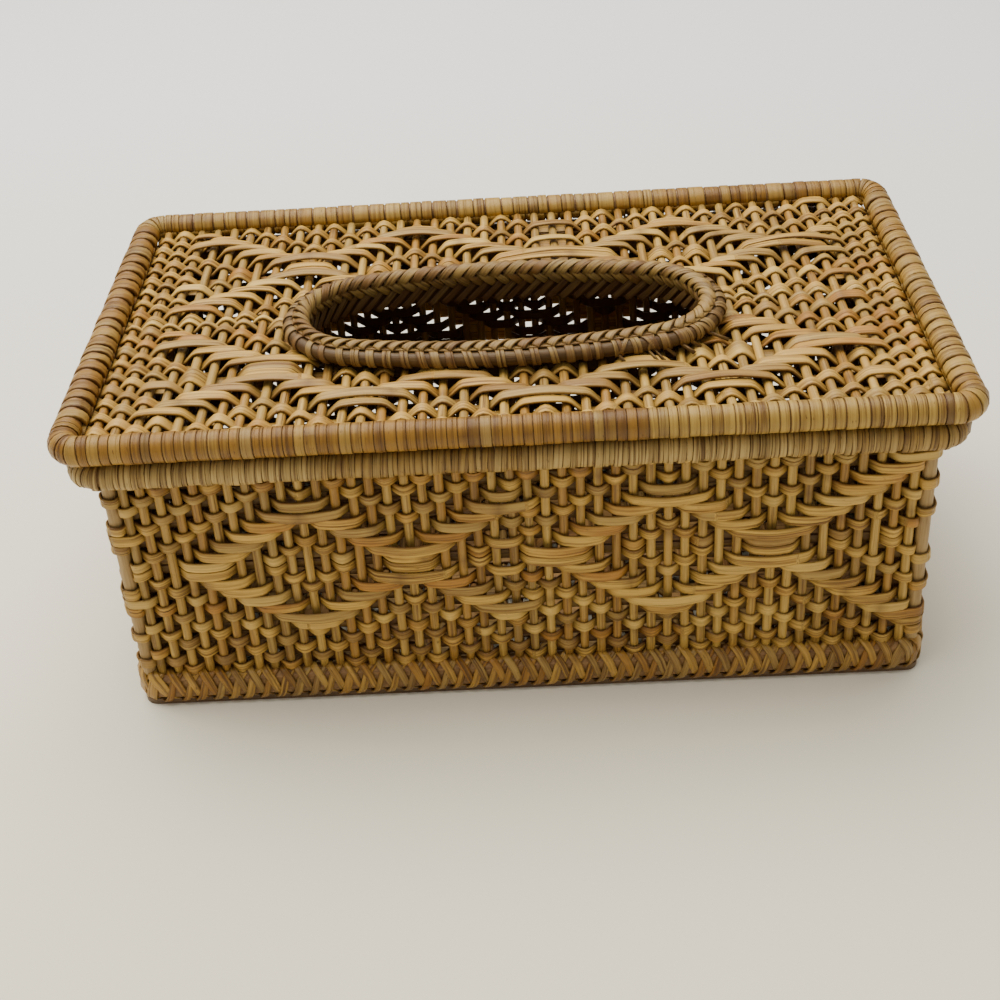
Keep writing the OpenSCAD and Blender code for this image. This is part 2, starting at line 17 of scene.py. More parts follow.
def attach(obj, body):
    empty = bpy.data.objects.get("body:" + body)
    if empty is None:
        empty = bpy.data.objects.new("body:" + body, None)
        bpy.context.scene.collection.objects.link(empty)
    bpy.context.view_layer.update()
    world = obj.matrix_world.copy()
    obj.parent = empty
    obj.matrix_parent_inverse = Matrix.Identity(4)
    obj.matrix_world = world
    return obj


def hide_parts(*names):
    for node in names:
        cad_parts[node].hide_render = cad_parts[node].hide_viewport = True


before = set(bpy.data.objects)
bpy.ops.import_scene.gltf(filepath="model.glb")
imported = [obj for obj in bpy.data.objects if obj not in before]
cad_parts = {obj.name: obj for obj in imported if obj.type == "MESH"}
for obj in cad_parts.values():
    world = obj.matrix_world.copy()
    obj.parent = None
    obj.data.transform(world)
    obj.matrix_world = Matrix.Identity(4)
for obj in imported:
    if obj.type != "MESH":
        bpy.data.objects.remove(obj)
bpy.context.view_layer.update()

bpy.ops.object.select_all(action="DESELECT")
print("CAD nodes:", len(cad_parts))

# %% [markdown]
# The sizes are those of the CAD source, in millimetres, because a basket maker
# thinks in them. They turn into metres in one place, when a mesh is made. Only
# the oval is a little fuller at its shoulders than the CAD one, as the real one
# is. A seeded dice gives the small unevenness of handwork, the same each run.

# %% Sizes in millimetres
MM = 0.001
# Lines of the stakes, height of the weave, and how far a cane sways from that line
WALL_X, WALL_Y = 126.5, 71.5
WEAVE_LOW, WEAVE_HIGH, ROWS = 11.9, 89.9, 22
LONG_STAKES, END_STAKES = 48, 28
SWAY = 2.05
STAKE_D, CANE_W, CANE_T = 3.0, 3.42, 0.95
# Rods: height, radius, and the loop of each as two half sizes and a corner radius
RIM_Z, HOOP_R, RIM_LOOP = 94.1, 3.4, (132.2, 77.2, 8.0)
LID_Z, ROD_R, LID_LOOP = 103.35, 4.1, (135.15, 77.65, 6.5)
FOOT_Z, FOOT_LOOP = 7.0, (WALL_X, WALL_Y, 6.0)
# Weave of the lid: half sizes inside its frame, stakes and rows with their pitches, height
LID_IN_X, LID_IN_Y = 130.2, 72.7
LID_STAKES, LID_ROWS, LID_PITCH, LID_ROW, WEAVE_Z = 42, 17, 6.2, 4.141, 101.55
# The oval: its middle, then place and radius of its end arcs and of its long arcs
OPEN_X, OPEN_Y = -2.5, -10.2
END_X, END_R, LONG_R, LONG_Y = 44.0, 24.0, 220.0, 191.0
OPEN_HALF_X, OPEN_HALF_Y = END_X + END_R, LONG_R - LONG_Y
OVAL_TURN = math.atan2(END_X, LONG_Y)
# The rod round the oval: how far out from its edge, height and radius
RING_OUT, RING_Z, RING_R = 1.9, 106.95, 2.3
dice = np.random.default_rng(7)
print("Wall rows are", round((WEAVE_HIGH - WEAVE_LOW) / ROWS, 2), "mm apart")

# %% [markdown]
# The camera stands where the photographer stood, nearly in the middle and high
# enough to look down into the opening. It could be set by eye, but its place was
# worked out from the corners of the lid and of the rim, so that the picture can
# be laid over the photograph. One helper turns a camera or a lamp by three arrows.

# %% Camera
def stand(thing, place, right, up, back):
    """Puts a camera or a lamp at a place and turns it: it looks away from back."""
    turn = np.column_stack([right, up, back])
    thing.matrix_world = Matrix.Translation(place) @ Matrix(turn.tolist()).to_4x4()


pitch, roll, yaw = 0.6026, -0.0651, -0.0298
ahead = np.array([math.sin(yaw) * math.cos(pitch), math.cos(yaw) * math.cos(pitch),
                  -math.sin(pitch)])
level = np.array([math.cos(yaw), -math.sin(yaw), 0.0])
steep = np.cross(level, ahead)
bpy.ops.object.camera_add(location=(0.0061, -0.4744, 0.3518))
camera = bpy.context.object
camera.name = "photo_camera"
camera.data.sensor_width = 36.0
camera.data.lens = 57.35
camera.data.clip_start = 0.01
stand(camera, camera.location, math.cos(roll) * level + math.sin(roll) * steep,
      -math.sin(roll) * level + math.cos(roll) * steep, -ahead)
bpy.context.scene.camera = camera
print("Camera at", [round(v, 3) for v in camera.matrix_world.translation])


# %% [markdown]
# A finish is a small network of shader nodes. They could be linked one by one,
# but then a pattern can't be read. The class below wraps one socket, so that a
# mask can be written as a sum: each operator adds one Math node. The method add
# makes any other node, with its settings first.

# %% Shader sums
class Wire:
    def __init__(self, net, socket):
        self.net, self.socket = net, socket

    def sum(self, kind, *values, clamp=False):
        return self.net.add("ShaderNodeMath", {"operation": kind, "use_clamp": clamp},
                            dict(enumerate(values)))

    def __add__(self, other): return self.sum("ADD", self, other)
    def __radd__(self, other): return self.sum("ADD", other, self)
    def __sub__(self, other): return self.sum("SUBTRACT", self, other)
    def __rsub__(self, other): return self.sum("SUBTRACT", other, self)
    def __mul__(self, other): return self.sum("MULTIPLY", self, other)
    def __gt__(self, other): return self.sum("GREATER_THAN", self, other)
    def fraction(self): return self.sum("FRACT", self)
    def size(self): return self.sum("ABSOLUTE", self)
    def limited(self): return self.sum("ADD", self, 0.0, clamp=True)


class Finish:
    def __init__(self, name):
        self.material = bpy.data.materials.new(name)
        self.material.use_nodes = True
        self.tree = self.material.node_tree
        self.shader = self.tree.nodes["Principled BSDF"]

    def add(self, kind, settings=None, sockets=None, output=0):
        node = self.tree.nodes.new(kind)
        for key, value in (settings or {}).items():
            setattr(node, key, value)
        for key, value in (sockets or {}).items():
            self.feed(node.inputs[key], value)
        return Wire(self, node.outputs[output])

    def feed(self, socket, value):
        if isinstance(value, Wire):
            self.tree.links.new(value.socket, socket)
        else:
            socket.default_value = value

    def mix(self, share, one, other):
        one, other = [(*v, 1.0) if isinstance(v, tuple) and len(v) == 3 else v
                      for v in (one, other)]
        return self.add("ShaderNodeMix", {"data_type": "RGBA"},
                        {0: share, 6: one, 7: other}, output=2)

    def noise(self, place, scale, detail=3.0, rough=0.55):
        return self.add("ShaderNodeTexNoise", {"noise_dimensions": "3D"},
                        {"Vector": place, "Scale": scale, "Detail": detail,
                         "Roughness": rough})

    def stretched(self, place, sizes):
        return self.add("ShaderNodeVectorMath", {"operation": "MULTIPLY"},
                        {0: place, 1: sizes})

    def parts(self, vector):
        first = self.add("ShaderNodeSeparateXYZ", sockets={0: vector})
        return [Wire(self, out) for out in first.socket.node.outputs]

    def to(self, name, value):
        self.feed(self.shader.inputs[name], value)

    def bump(self, height, strength, distance):
        self.to("Normal", self.add("ShaderNodeBump", {}, {
            "Strength": strength, "Distance": distance, "Height": height}))


print("A wire knows:", *[name for name in vars(Wire) if name[0] != "_"])

# %% [markdown]
# Rattan shows long fibres, a darker ring where a leaf grew, patches that the
# sun or a stain turned orange, and dull spots between polished ones. A pattern
# in Object coordinates would cut straight through a bent cane. So it reads an
# attribute that each cane carries: how far along it a point is, how far across,
# and a number of its own. Grooves and specks go to Bump, too fine for a mesh.

# %% Cane finish
STRAW = (0.64, 0.393, 0.083)
PALE = (0.78, 0.53, 0.145)
TAN = (0.46, 0.215, 0.036)
DULL = (0.34, 0.23, 0.072)
DARK = (0.080, 0.031, 0.009)


def cane_finish(name, light, mid, deep, gloss=0.42, spots=0.5, fibre=1.0, dull=0.28,
                pale=None, coat=0.3):
    """Three colours, roughness, then how strong specks, fibres, dull canes and polish are."""
    net = Finish(name)
    grain, kind = [net.add("ShaderNodeAttribute", {"attribute_name": title}, output=1)
                   for title in ("grain", "kind")]
    along, across, seed = net.parts(grain)
    tint, shade, dark = net.parts(kind)
    fibres = net.noise(net.stretched(grain, (60.0, 3200.0, 7.0)), 1.0, 4.0, 0.65)
    streaks = net.noise(net.stretched(grain, (34.0, 1150.0, 5.0)), 1.0, 2.0)
    patches = net.noise(net.stretched(grain, (45.0, 160.0, 3.0)), 1.0, 3.0)
    specks = net.noise(net.stretched(grain, (420.0, 1500.0, 11.0)), 1.0, 2.0)
    ring = ((along * 14.0 + seed * 3.7).fraction() - 0.5).size()
    node_ring = (1.0 - ring * 22.0).limited() * ((seed * 7.13).fraction() > 0.45)
    warm = ((patches - 0.52) * 3.4 + (tint - 0.5) * 2.2 + 0.40).limited()
    tone = ((fibres - 0.5) * (1.3 * fibre) + (streaks - 0.5) * (2.9 * fibre)
            + (1.0 - shade) * 1.1 + 0.14).limited()
    speck = ((specks - 0.66) * 9.0).limited() * spots
    splits = 0.0
    for turn, share in ((5.31, 0.35), (8.87, 0.5)):
        beside = (across - ((seed * turn).fraction() - 0.5) * 0.0022).size()
        line = (1.0 - beside * 5200.0).limited() * ((seed * (turn + 2.0)).fraction() > share)
        splits = line * ((streaks - 0.36) * 3.0).limited() + splits
    base = light
    for share, colour in (
            (warm, mid), (((seed * 2.39).fraction() > 1.0 - dull) * 0.6, DULL), (tone, deep),
            ((splits * 0.62 * fibre).limited(), DARK),
            (((seed * 4.71).fraction() > 0.86) * 0.45, pale or light),
            ((speck + node_ring * 0.45).limited(), DARK),
            # Darkens by the kind's third value: real stains, and painted shade in recesses, on
            # faces into the box and at edges
            ((dark * (0.55 + patches * 0.9)).limited(), DARK)):
        base = net.mix(share, base, colour)
    net.to("Base Color", base)
    net.to("Roughness", (gloss + (fibres - 0.5) * 0.30 + (patches - 0.5) * 0.22
                         + speck * 0.2).limited())
    net.to("Coat Weight", ((patches - 0.35) * 0.6).limited() * coat)
    for title, value in (("Specular IOR Level", 0.3), ("Coat Roughness", 0.22), ("IOR", 1.5)):
        net.to(title, value)
    net.bump(fibres * 0.6 + streaks * 0.5 + node_ring * 0.5 + specks * 0.25
             - splits * 0.9, 0.7, 0.00026)
    return net.material


flat_cane = cane_finish("flat_cane", STRAW, TAN, (0.19, 0.088, 0.018), pale=PALE)
pale_cane = cane_finish("pale_cane", PALE, STRAW, (0.33, 0.19, 0.065), 0.40, 0.35)
stake_cane = cane_finish("stake_cane", (0.58, 0.37, 0.092), (0.42, 0.22, 0.045),
                         (0.19, 0.095, 0.022), 0.38, 0.6, 0.8)
# The floor's finish is a darker copy of the cane: painted shade inside the box
floor_cane_painted_shade = cane_finish("floor_cane_painted_shade", (0.42, 0.235, 0.08), (0.29, 0.14, 0.042),
                         (0.09, 0.045, 0.015), 0.5, 0.6)
frame_cane = cane_finish("frame_cane", (0.45, 0.285, 0.063), (0.30, 0.15, 0.021),
                         (0.13, 0.058, 0.011), 0.40, 0.8, 0.9, 0.10, coat=0.15)
rim_cane = cane_finish("rim_cane", (0.49, 0.335, 0.115), (0.34, 0.205, 0.052),
                       (0.14, 0.075, 0.02), 0.45, 0.7, 1.3)
foot_cane = cane_finish("foot_cane", (0.52, 0.30, 0.062), (0.33, 0.145, 0.020),
                        (0.14, 0.065, 0.014), 0.33, 0.7)
ring_cane = cane_finish("ring_cane", (0.27, 0.165, 0.052), (0.17, 0.085, 0.024),
                        (0.09, 0.043, 0.013), 0.45, 0.6)
plait_cane = cane_finish("plait_cane", (0.34, 0.21, 0.057), (0.21, 0.105, 0.026),
                         (0.11, 0.055, 0.015), 0.42, 0.5)
rod_cane = cane_finish("rod_cane", (0.12, 0.067, 0.019), (0.08, 0.040, 0.011),
                       (0.07, 0.035, 0.011), 0.48, 0.9, 1.2)
print("The finish of a flat cane has", len(flat_cane.node_tree.nodes), "shader nodes")

# %% [markdown]
# The rods inside the rims are peeled rattan core. They keep their CAD shape,
# whose mesh has no attribute of its own, so their fibres are read from Object
# coordinates instead, drawn long along the ground, or upwards on the posts.

# %% Rod finish
def rod_finish(name, light, deep, sizes, gloss=0.5):
    net = Finish(name)
    place = net.add("ShaderNodeTexCoord", output=3)
    fibres = net.noise(net.stretched(place, sizes), 1.0, 4.0, 0.65)
    patches = net.noise(place, 60.0, 3.0)
    tone = ((fibres - 0.42) * 1.9 + (patches - 0.5) * 1.1 + 0.3).limited()
    net.to("Base Color", net.mix(tone, light, deep))
    net.to("Roughness", (gloss + (fibres - 0.5) * 0.3).limited())
    net.bump(fibres, 0.5, 0.0003)
    return net.material


core_rod = rod_finish("core_rod", (0.33, 0.175, 0.055), (0.15, 0.07, 0.022),
                      (260.0, 260.0, 1500.0))
runner_cane = rod_finish("runner_cane", (0.17, 0.095, 0.04), (0.07, 0.038, 0.016),
                         (200.0, 200.0, 1600.0))
upright_cane = rod_finish("upright_cane", (0.44, 0.29, 0.11), (0.24, 0.14, 0.05),
                          (1500.0, 1500.0, 90.0))


KEPT = [(core_rod, ("foot_rail", "rim_hoop", "rim_inner_hoop", "lid_frame", "locating_band")),
        (runner_cane, ("base_runner",)), (upright_cane, ("corner_posts",))]
for finish, names in KEPT:
    for name in names:
        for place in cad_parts[name].material_slots:
            place.material = finish
print("CAD nodes kept with a finish:", sum(len(names) for _, names in KEPT))

# %% [markdown]
# A straight cane could be extruded ring by ring along its way, but a cover has
# over sixteen hundred of them. Here it is modelled once for each length: a short
# open tube, repeated end to end with an Array modifier and closed at its ends.
# Every cane in the weave is then a copy whose rings are moved onto its own line.

# %% Straight canes
def read(items, what, kind=int, each=1):
    """One value, or a few, of every item of a mesh, as an array."""
    values = np.zeros(len(items) * each, kind)
    items.foreach_get(what, values)
    return values


@functools.cache
def straight_cane(sides, rings):
    bpy.ops.object.select_all(action="DESELECT")
    bpy.ops.mesh.primitive_cylinder_add(
        vertices=sides, radius=0.5, depth=1.0, end_fill_type="NOTHING",
        location=(0.5, 0, 0), rotation=(0, math.pi / 2, 0))
    bpy.ops.object.transform_apply(location=True, rotation=True, scale=True)
    cane = bpy.context.object
    repeat = cane.modifiers.new("repeat", "ARRAY")
    repeat.count = rings - 1
    repeat.relative_offset_displace = (1, 0, 0)
    repeat.use_merge_vertices = True
    bpy.ops.object.modifier_apply(modifier=repeat.name)
    bpy.ops.object.mode_set(mode="EDIT")
    bpy.ops.mesh.select_all(action="SELECT")
    bpy.ops.mesh.fill_holes(sides=0)
    bpy.ops.mesh.normals_make_consistent(inside=False)
    bpy.ops.object.mode_set(mode="OBJECT")
    mesh = cane.data
    points = read(mesh.vertices, "co", float, 3).reshape(-1, 3)
    master = {
        "ring": np.rint(points[:, 0]).astype(int),
        "turn": np.arctan2(points[:, 1], points[:, 2]),
        "corners": read(mesh.loops, "vertex_index"),
        "starts": read(mesh.polygons, "loop_start"),
        "counts": read(mesh.polygons, "loop_total"),
    }
    bpy.data.objects.remove(cane)
    bpy.data.meshes.remove(mesh)
    return master


print("A straight cane of 9 cuts has", len(straight_cane(8, 9)["ring"]), "points")

# %% [markdown]
# Laying a cane takes the line of its middle and, at each point, the way its
# broad face looks. A curve with a bevel would do this too, but it can't change
# its section or colour on the way. The section is a flattened circle: a broad
# face with a slight crown, crisp edges, and on a split cane a shallow groove.
# Its edges are darker, from dirt and painted shade, and the face that looks into the box gets
# painted shade.

# %% Lay a cane
def per_ring(value, rings):
    return np.broadcast_to(np.asarray(value, float), (rings,))


def lay_cane(line, face, width, thick, tint=0.5, shade=1.0, seed=None, groove=0.0,
             sides=12, flat=0.42, crown=0.42, roll=0.0, dark=0.0, inner_face_painted_shade=0.0, edges=0.45):
    """A cane's master and its points, grain and kind. flat=1 makes it round."""
    line, face = np.asarray(line, float), np.asarray(face, float)
    rings = len(line)
    cane = straight_cane(sides, rings)
    along = np.gradient(line, axis=0)
    along /= np.linalg.norm(along, axis=1)[:, None]
    side = np.cross(along, np.broadcast_to(face, line.shape))
    side /= np.linalg.norm(side, axis=1)[:, None]
    face = np.cross(side, along)
    roll = per_ring(roll, rings)[:, None]
    side, face = (side * np.cos(roll) + face * np.sin(roll),
                  face * np.cos(roll) - side * np.sin(roll))
    ring, turn = cane["ring"], cane["turn"]
    crown = 1.0 if flat == 1.0 else crown
    y = 0.5 * np.sign(np.sin(turn)) * np.abs(np.sin(turn)) ** crown
    z = 0.5 * np.sign(np.cos(turn)) * np.abs(np.cos(turn)) ** flat
    width, thick = per_ring(width, rings)[ring], per_ring(thick, rings)[ring]
    groove = per_ring(groove, rings)[ring] * (np.abs(z) < 0.12) * (y > 0)
    points = (line[ring] + face[ring] * (y * thick * (1 - groove))[:, None]
              + side[ring] * (z * width)[:, None])
    step = np.linalg.norm(np.diff(line, axis=0), axis=1)
    far = np.concatenate([[0], np.cumsum(step)])
    seed = dice.random() if seed is None else seed
    # Dirt and painted shade: the edges of the section are darkened
    edge = 0.0 if flat == 1.0 else np.clip((np.abs(z) - 0.42) / 0.08, 0, 1) * edges
    grain = np.column_stack([far[ring] * MM, z * width * MM + (y < 0) * 0.05,
                             per_ring(seed, rings)[ring] * 9.0])
    # The third value of kind darkens the cane: stains and painted shade passed in, painted shade
    # on the face that looks into the box, and the darker edges
    kind = np.column_stack([per_ring(tint, rings)[ring], per_ring(shade, rings)[ring],
                            per_ring(dark, rings)[ring] + inner_face_painted_shade * (y < -0.1) + edge])
    return cane, points * MM, grain, kind


def hue(low, high=1.0):
    """A cane's own tint and shade."""
    return {"tint": dice.random(), "shade": dice.uniform(low, high)}


print("A flat cane is", CANE_W, "by", CANE_T, "mm and a stake", STAKE_D, "mm thick")

# %% [markdown]
# All canes of one wall or one rim become one piece, like a sheaf tied together.
# Joining hundreds of objects is slow, so their meshes are put end to end as
# arrays. The piece rides on its body and stands for the nodes it replaces.

# %% Gather canes into a piece
def gather(name, laid, finish, body, replaced):
    corners, starts, counts, shift, loops = [], [], [], 0, 0
    for cane, points, _, _ in laid:
        corners.append(cane["corners"] + shift)
        starts.append(cane["starts"] + loops)
        counts.append(cane["counts"])
        shift += len(points)
        loops += len(cane["corners"])
    corners, starts, counts = (np.concatenate(v).astype(np.int32)
                               for v in (corners, starts, counts))
    points, grain, kind = (np.concatenate(v).astype(np.float32) for v in list(zip(*laid))[1:])
    mesh = bpy.data.meshes.new(name)
    mesh.vertices.add(len(points))
    mesh.vertices.foreach_set("co", points.ravel())
    mesh.loops.add(len(corners))
    mesh.loops.foreach_set("vertex_index", corners)
    mesh.polygons.add(len(starts))
    mesh.polygons.foreach_set("loop_start", starts)
    mesh.polygons.foreach_set("loop_total", counts)
    mesh.update(calc_edges=True)
    mesh.validate()
    for title, values in (("grain", grain), ("kind", kind)):
        layer = mesh.attributes.new(title, "FLOAT_VECTOR", "POINT")
        layer.data.foreach_set("vector", values.ravel())
    piece = bpy.data.objects.new(name, mesh)
    bpy.context.scene.collection.objects.link(piece)
    mesh.materials.append(finish)
    bpy.ops.object.select_all(action="DESELECT")
    bpy.context.view_layer.objects.active = piece
    piece.select_set(True)
    bpy.ops.object.shade_smooth()
    piece.select_set(False)
    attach(piece, body)
    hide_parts(*replaced)
    print(name, "has", len(laid), "canes and", int((counts - 2).sum()), "triangles")


# %% [markdown]
# A wall could be made once and turned, but its canes run on round the corners. So
# all four are laid in place, by a helper that puts (along, out, up) on a wall.

# %% Put lines on a wall
# Way along it, way out of it, distance out, stakes with the posts, half length, and
# the place of its first stake in the pattern
WALLS = {
    "front": ((1, 0, 0), (0, -1, 0), WALL_Y, LONG_STAKES, WALL_X, 1),
    "right": ((0, 1, 0), (1, 0, 0), WALL_X, END_STAKES, WALL_Y, 3),
    "back": ((-1, 0, 0), (0, 1, 0), WALL_Y, LONG_STAKES, WALL_X, 1),
    "left": ((0, -1, 0), (-1, 0, 0), WALL_X, END_STAKES, WALL_Y, 3),
}
# The corner posts, and the room from a post to the first stake beside it
POST_X, POST_Y, STAKE_ROOM = 125.3, 70.3, 4.35


def on_wall(wall, along, out, up):
    run, outward, away = (np.array(v, float) for v in WALLS[wall][:3])
    along, out, up = np.broadcast_arrays(along, out, up)
    return (np.outer(along, run) + np.outer(away + out, outward)
            + np.outer(up, [0.0, 0.0, 1.0]))


def stake_places(wall):
    count = WALLS[wall][3]
    reach = (POST_X if count == LONG_STAKES else POST_Y) - STAKE_ROOM
    return np.linspace(-reach, reach, count - 2)


print("Stakes along the front:", len(stake_places("front")))

# %% [markdown]
# Cane bends in smooth lines and never lies quite straight. Bezier curves would
# show that, but a mesh with fixed rings needs a fixed number of points. Two short
# sums do it: a cubic through chosen stops, and a few slow waves.

# %% Smooth lines
def smooth_way(stops, count):
    """A smooth line through the stops: a cubic between each pair, with even slopes."""
    stops = np.array(stops, float)
    slopes = np.gradient(stops, axis=0)
    at = np.linspace(0, len(stops) - 1, count)
    i = np.minimum(at.astype(int), len(stops) - 2)
    t = (at - i)[:, None]
    return (stops[i] * (1 + 2 * t) * (1 - t) ** 2 + stops[i + 1] * t * t * (3 - 2 * t)
            + slopes[i] * t * (1 - t) ** 2 - slopes[i + 1] * t * t * (1 - t))


def wavy(count, size):
    """A smooth random line of that many points."""
    t = np.linspace(0, 1, count)
    return size * sum(dice.normal(0, 1 / k) * np.sin(math.pi * k * t + dice.random() * 6.3)
                      for k in (1, 2, 3))


print("Half way between two stops:", smooth_way([(0, 0), (1, 1)], 3)[1])

# %% [markdown]
# The stakes are the round uprights that carry the weave. A plain cylinder would
# look turned on a lathe, so each one sways and has its own thickness.

# %% Stakes of the walls
STAKE_RINGS, STAKE_TOP = 16, 97.3
for wall in WALLS:
    laid = []
    up = np.linspace(WEAVE_LOW, STAKE_TOP, STAKE_RINGS)
    outward = WALLS[wall][1]
    for place in stake_places(wall):
        line = on_wall(wall, place + wavy(STAKE_RINGS, 0.12), wavy(STAKE_RINGS, 0.07), up)
        size = STAKE_D * dice.uniform(0.94, 1.03)
        # Painted shade: the wall stakes are drawn darker than the lid's, with a random spread of
        # tone
        laid.append(lay_cane(line, outward, size, size, flat=1.0, sides=10, inner_face_painted_shade=0.5,
                             **hue(0.58, 0.95)))
    gather("stakes_" + wall, laid, stake_cane, "box", [wall + "_stakes"])

# %% [markdown]
# Each row of flat cane passes in front of some stakes and behind others, so that
# diamonds appear. A drawing of every crossing would hold a thousand marks. One
# rule does it: a cane lies in front where its row meets the line of a diamond, and
# one row away from it, four rows, seven and so on. Where two diamonds meet, the
# weave is plain. The lower rows mirror the upper ones.

# %% The weaving rule
def diamond_row(s):
    """The row in which the line of a diamond crosses stake s. Two diamonds, 21 stakes apart."""
    k = s if s <= 24 else s - 21
    return 16 - k if k <= 12 else k - 8 if k <= 18 else 28 - k


def wall_side(s, r):
    """1 where row r passes in front of stake s, -1 where it passes behind."""
    q = r if r <= 10 else 21 - r
    if s in (24, 25) and q > 5:
        return 1 if (s + q) % 2 else -1
    d = q - diamond_row(s)
    return 1 if d == 0 or abs(d) % 3 == 1 else -1


def wall_sides(wall, r):
    count, start = WALLS[wall][3], WALLS[wall][5]
    return np.array([wall_side(i + start, r) for i in range(1, count - 1)])


def float_lines(places, sides, per, pitch, bulge):
    """Places along, distances out and share of a long float, between first and last stake."""
    at = np.arange((len(places) - 1) * per + 1)
    i = np.minimum(at // per, len(places) - 2)
    t = at / per - i
    ease = (1 - np.cos(math.pi * t)) / 2
    along = places[i] + t * (places[i + 1] - places[i])
    out = SWAY * (sides[i] * (1 - ease) + sides[i + 1] * ease)
    lift = np.zeros(len(along))
    ends = np.flatnonzero(np.diff(sides, append=0))
    for i, j in zip([0, *(ends[:-1] + 1)], ends):
        if i == j:
            continue
        a, b = places[i] - pitch * 0.45, places[j] + pitch * 0.45
        inside = (along > a) & (along < b)
        rise = np.sin(math.pi * (along[inside] - a) / (b - a)) ** 1.2 * min(j - i, 5)
        if sides[i] > 0:
            lift[inside] = rise
            out[inside] += bulge * rise * dice.uniform(0.8, 1.15)
        else:
            out[inside] -= 0.15 * rise
    return along, out, lift


print("Row 5 along the front:", "".join("#" if s > 0 else "." for s in wall_sides("front", 5)))

# %% [markdown]
# A real row runs right round the box, spliced from several canes. Four separate
# walls would be easier, but their canes would end in mid air. So each row is one
# loop, outside or inside the corner posts by turns, cut in four at the corners.

# %% Rows of the walls
CORNER_TURN = 4.3
STEPS = 5


def splices(length_mm, low=45, high=150):
    """Cuts a row into canes: where they end, their seeds, tints, shades and grooves."""
    ends = [0.0]
    while ends[-1] < length_mm:
        ends.append(ends[-1] + dice.uniform(low, high))
    n = len(ends)
    return (np.array(ends), dice.random(n), dice.beta(1.6, 2.4, n),
            dice.uniform(0.72, 1.0, n), (dice.random(n) < 0.34) * 0.45)


def cane_run(far, cut):
    """What each point of a row carries, by the cane that it lies on."""
    ends, seeds, tints, shades, grooves = cut
    at = np.searchsorted(ends, far, side="right") - 1
    return {"seed": seeds[at], "tint": tints[at], "shade": shades[at], "groove": grooves[at]}


def corner_half(place, last, half, side):
    """From the last stake to the middle of a corner, outside or inside its post."""
    if side > 0:
        climb = [(place + along, last + (SWAY - last) * share)
                 for along, share in ((1.0, 0.12), (1.7, 0.55), (2.4, 0.92))]
        turn = [(half + SWAY - CORNER_TURN * (1 - math.sin(a)),
                 SWAY - CORNER_TURN * (1 - math.cos(a)))
                for a in np.linspace(0, math.pi / 4, 5)]
        return np.array(climb + turn)
    dive = [(place + 1.35, 1.75), (place + 1.95, 0.5), (place + 1.75, -1.0)]
    stops = [(place, last)] + (dive if last > 0 else [(place + 0.9, -2.2)])
    return smooth_way(stops + [(half - 3.2, -3.2)], 9)[1:]


def wall_loop(r):
    """One row as a closed line, its broad side, corners, floats and how deep it lies."""
    height = WEAVE_HIGH - (r - 0.5) * (WEAVE_HIGH - WEAVE_LOW) / ROWS
    points, depths, lifts, corners = [], [], [], []
    turns = [wall_side(WALLS[w][3] - 1 + WALLS[w][5], r) for w in WALLS]
    for k, wall in enumerate(WALLS):
        half, places = WALLS[wall][4], stake_places(wall)
        along, out, lift = float_lines(places, wall_sides(wall, r), STEPS,
                                       places[1] - places[0], 0.42)
        before = corner_half(-along[0], out[0], half, turns[k - 1])[-2::-1] * (-1, 1)
        after = corner_half(along[-1], out[-1], half, turns[k])
        way = np.concatenate([before, np.column_stack([along, out]), after])
        points.append(on_wall(wall, way[:, 0], way[:, 1], height))
        # How far behind the stakes each point lies; it sets the painted shade below
        depths.append((SWAY - way[:, 1]) / (2 * SWAY))
        lifts.append(np.pad(lift, (len(before), len(after))))
        corners.append(sum(len(p) for p in points) - 1)
    points, lift, deep = (np.concatenate(v) for v in (points, lifts, depths))
    faces = np.cross(np.roll(points, -1, axis=0) - np.roll(points, 1, axis=0), (0, 0, 1.0))
    step = np.linalg.norm(np.diff(points, axis=0, append=points[:1]), axis=1)
    far = np.concatenate([[0], np.cumsum(step)[:-1]])
    t = far / step.sum()
    wobble = sum(dice.normal(0, 0.10 / math.sqrt(k))
                 * np.sin(2 * math.pi * (k * t + dice.random()))
                 for k in (2, 5, 9, 17, 31, 53))
    points[:, 2] += wobble - 0.16 * lift
    return points, faces, far, corners, lift, np.clip(deep, 0, 1)


wall_canes = {wall: [] for wall in WALLS}
for r in range(1, ROWS + 1):
    points, faces, far, corners, lift, deep = wall_loop(r)
    n = len(points)
    cut = splices(far[-1])
    width = (CANE_W + 0.13 * lift) * (1 + 0.05 * np.sin(far / 31 + r)
                                      + 0.04 * np.sin(far / 11 + 2 * r))
    roll = 0.10 * np.sin(far / 23 + 3 * r)
    for k, wall in enumerate(WALLS):
        first, last = corners[k - 1], corners[k] + 1
        pick = np.arange(first - n if k == 0 else first, last) % n
        wide = 1.06 if wall == "back" else 1.0
        run = cane_run(far[pick], cut)
        # Painted shade: the wall canes are drawn darker than the same canes on the lid, as the
        # walls stand in shade
        run["shade"] -= 0.07
        # Painted shade: a cane is darker where it passes behind the stakes
        wall_canes[wall].append(lay_cane(points[pick], faces[pick], width[pick] * wide, CANE_T,
                                         roll=roll[pick], dark=0.75 * deep[pick], inner_face_painted_shade=0.5,
                                         **run))
for wall, laid in wall_canes.items():
    gather("weave_" + wall, laid, flat_cane, "box", [wall + "_weave"])

# %% [markdown]
# The rims are rods wound with flat cane. One long helix would do for a machine;
# here each side of the loop gets its own width and spacing, because on the real
# cover the front is wound close, the short ends are wound loose and slanted,
# and round a corner the turns fan out like cards.

# %% Loops and wrapped rods
def loop_length(loop):
    half_x, half_y, turn = loop
    return 4 * (half_x + half_y - 2 * turn) + 2 * math.pi * turn


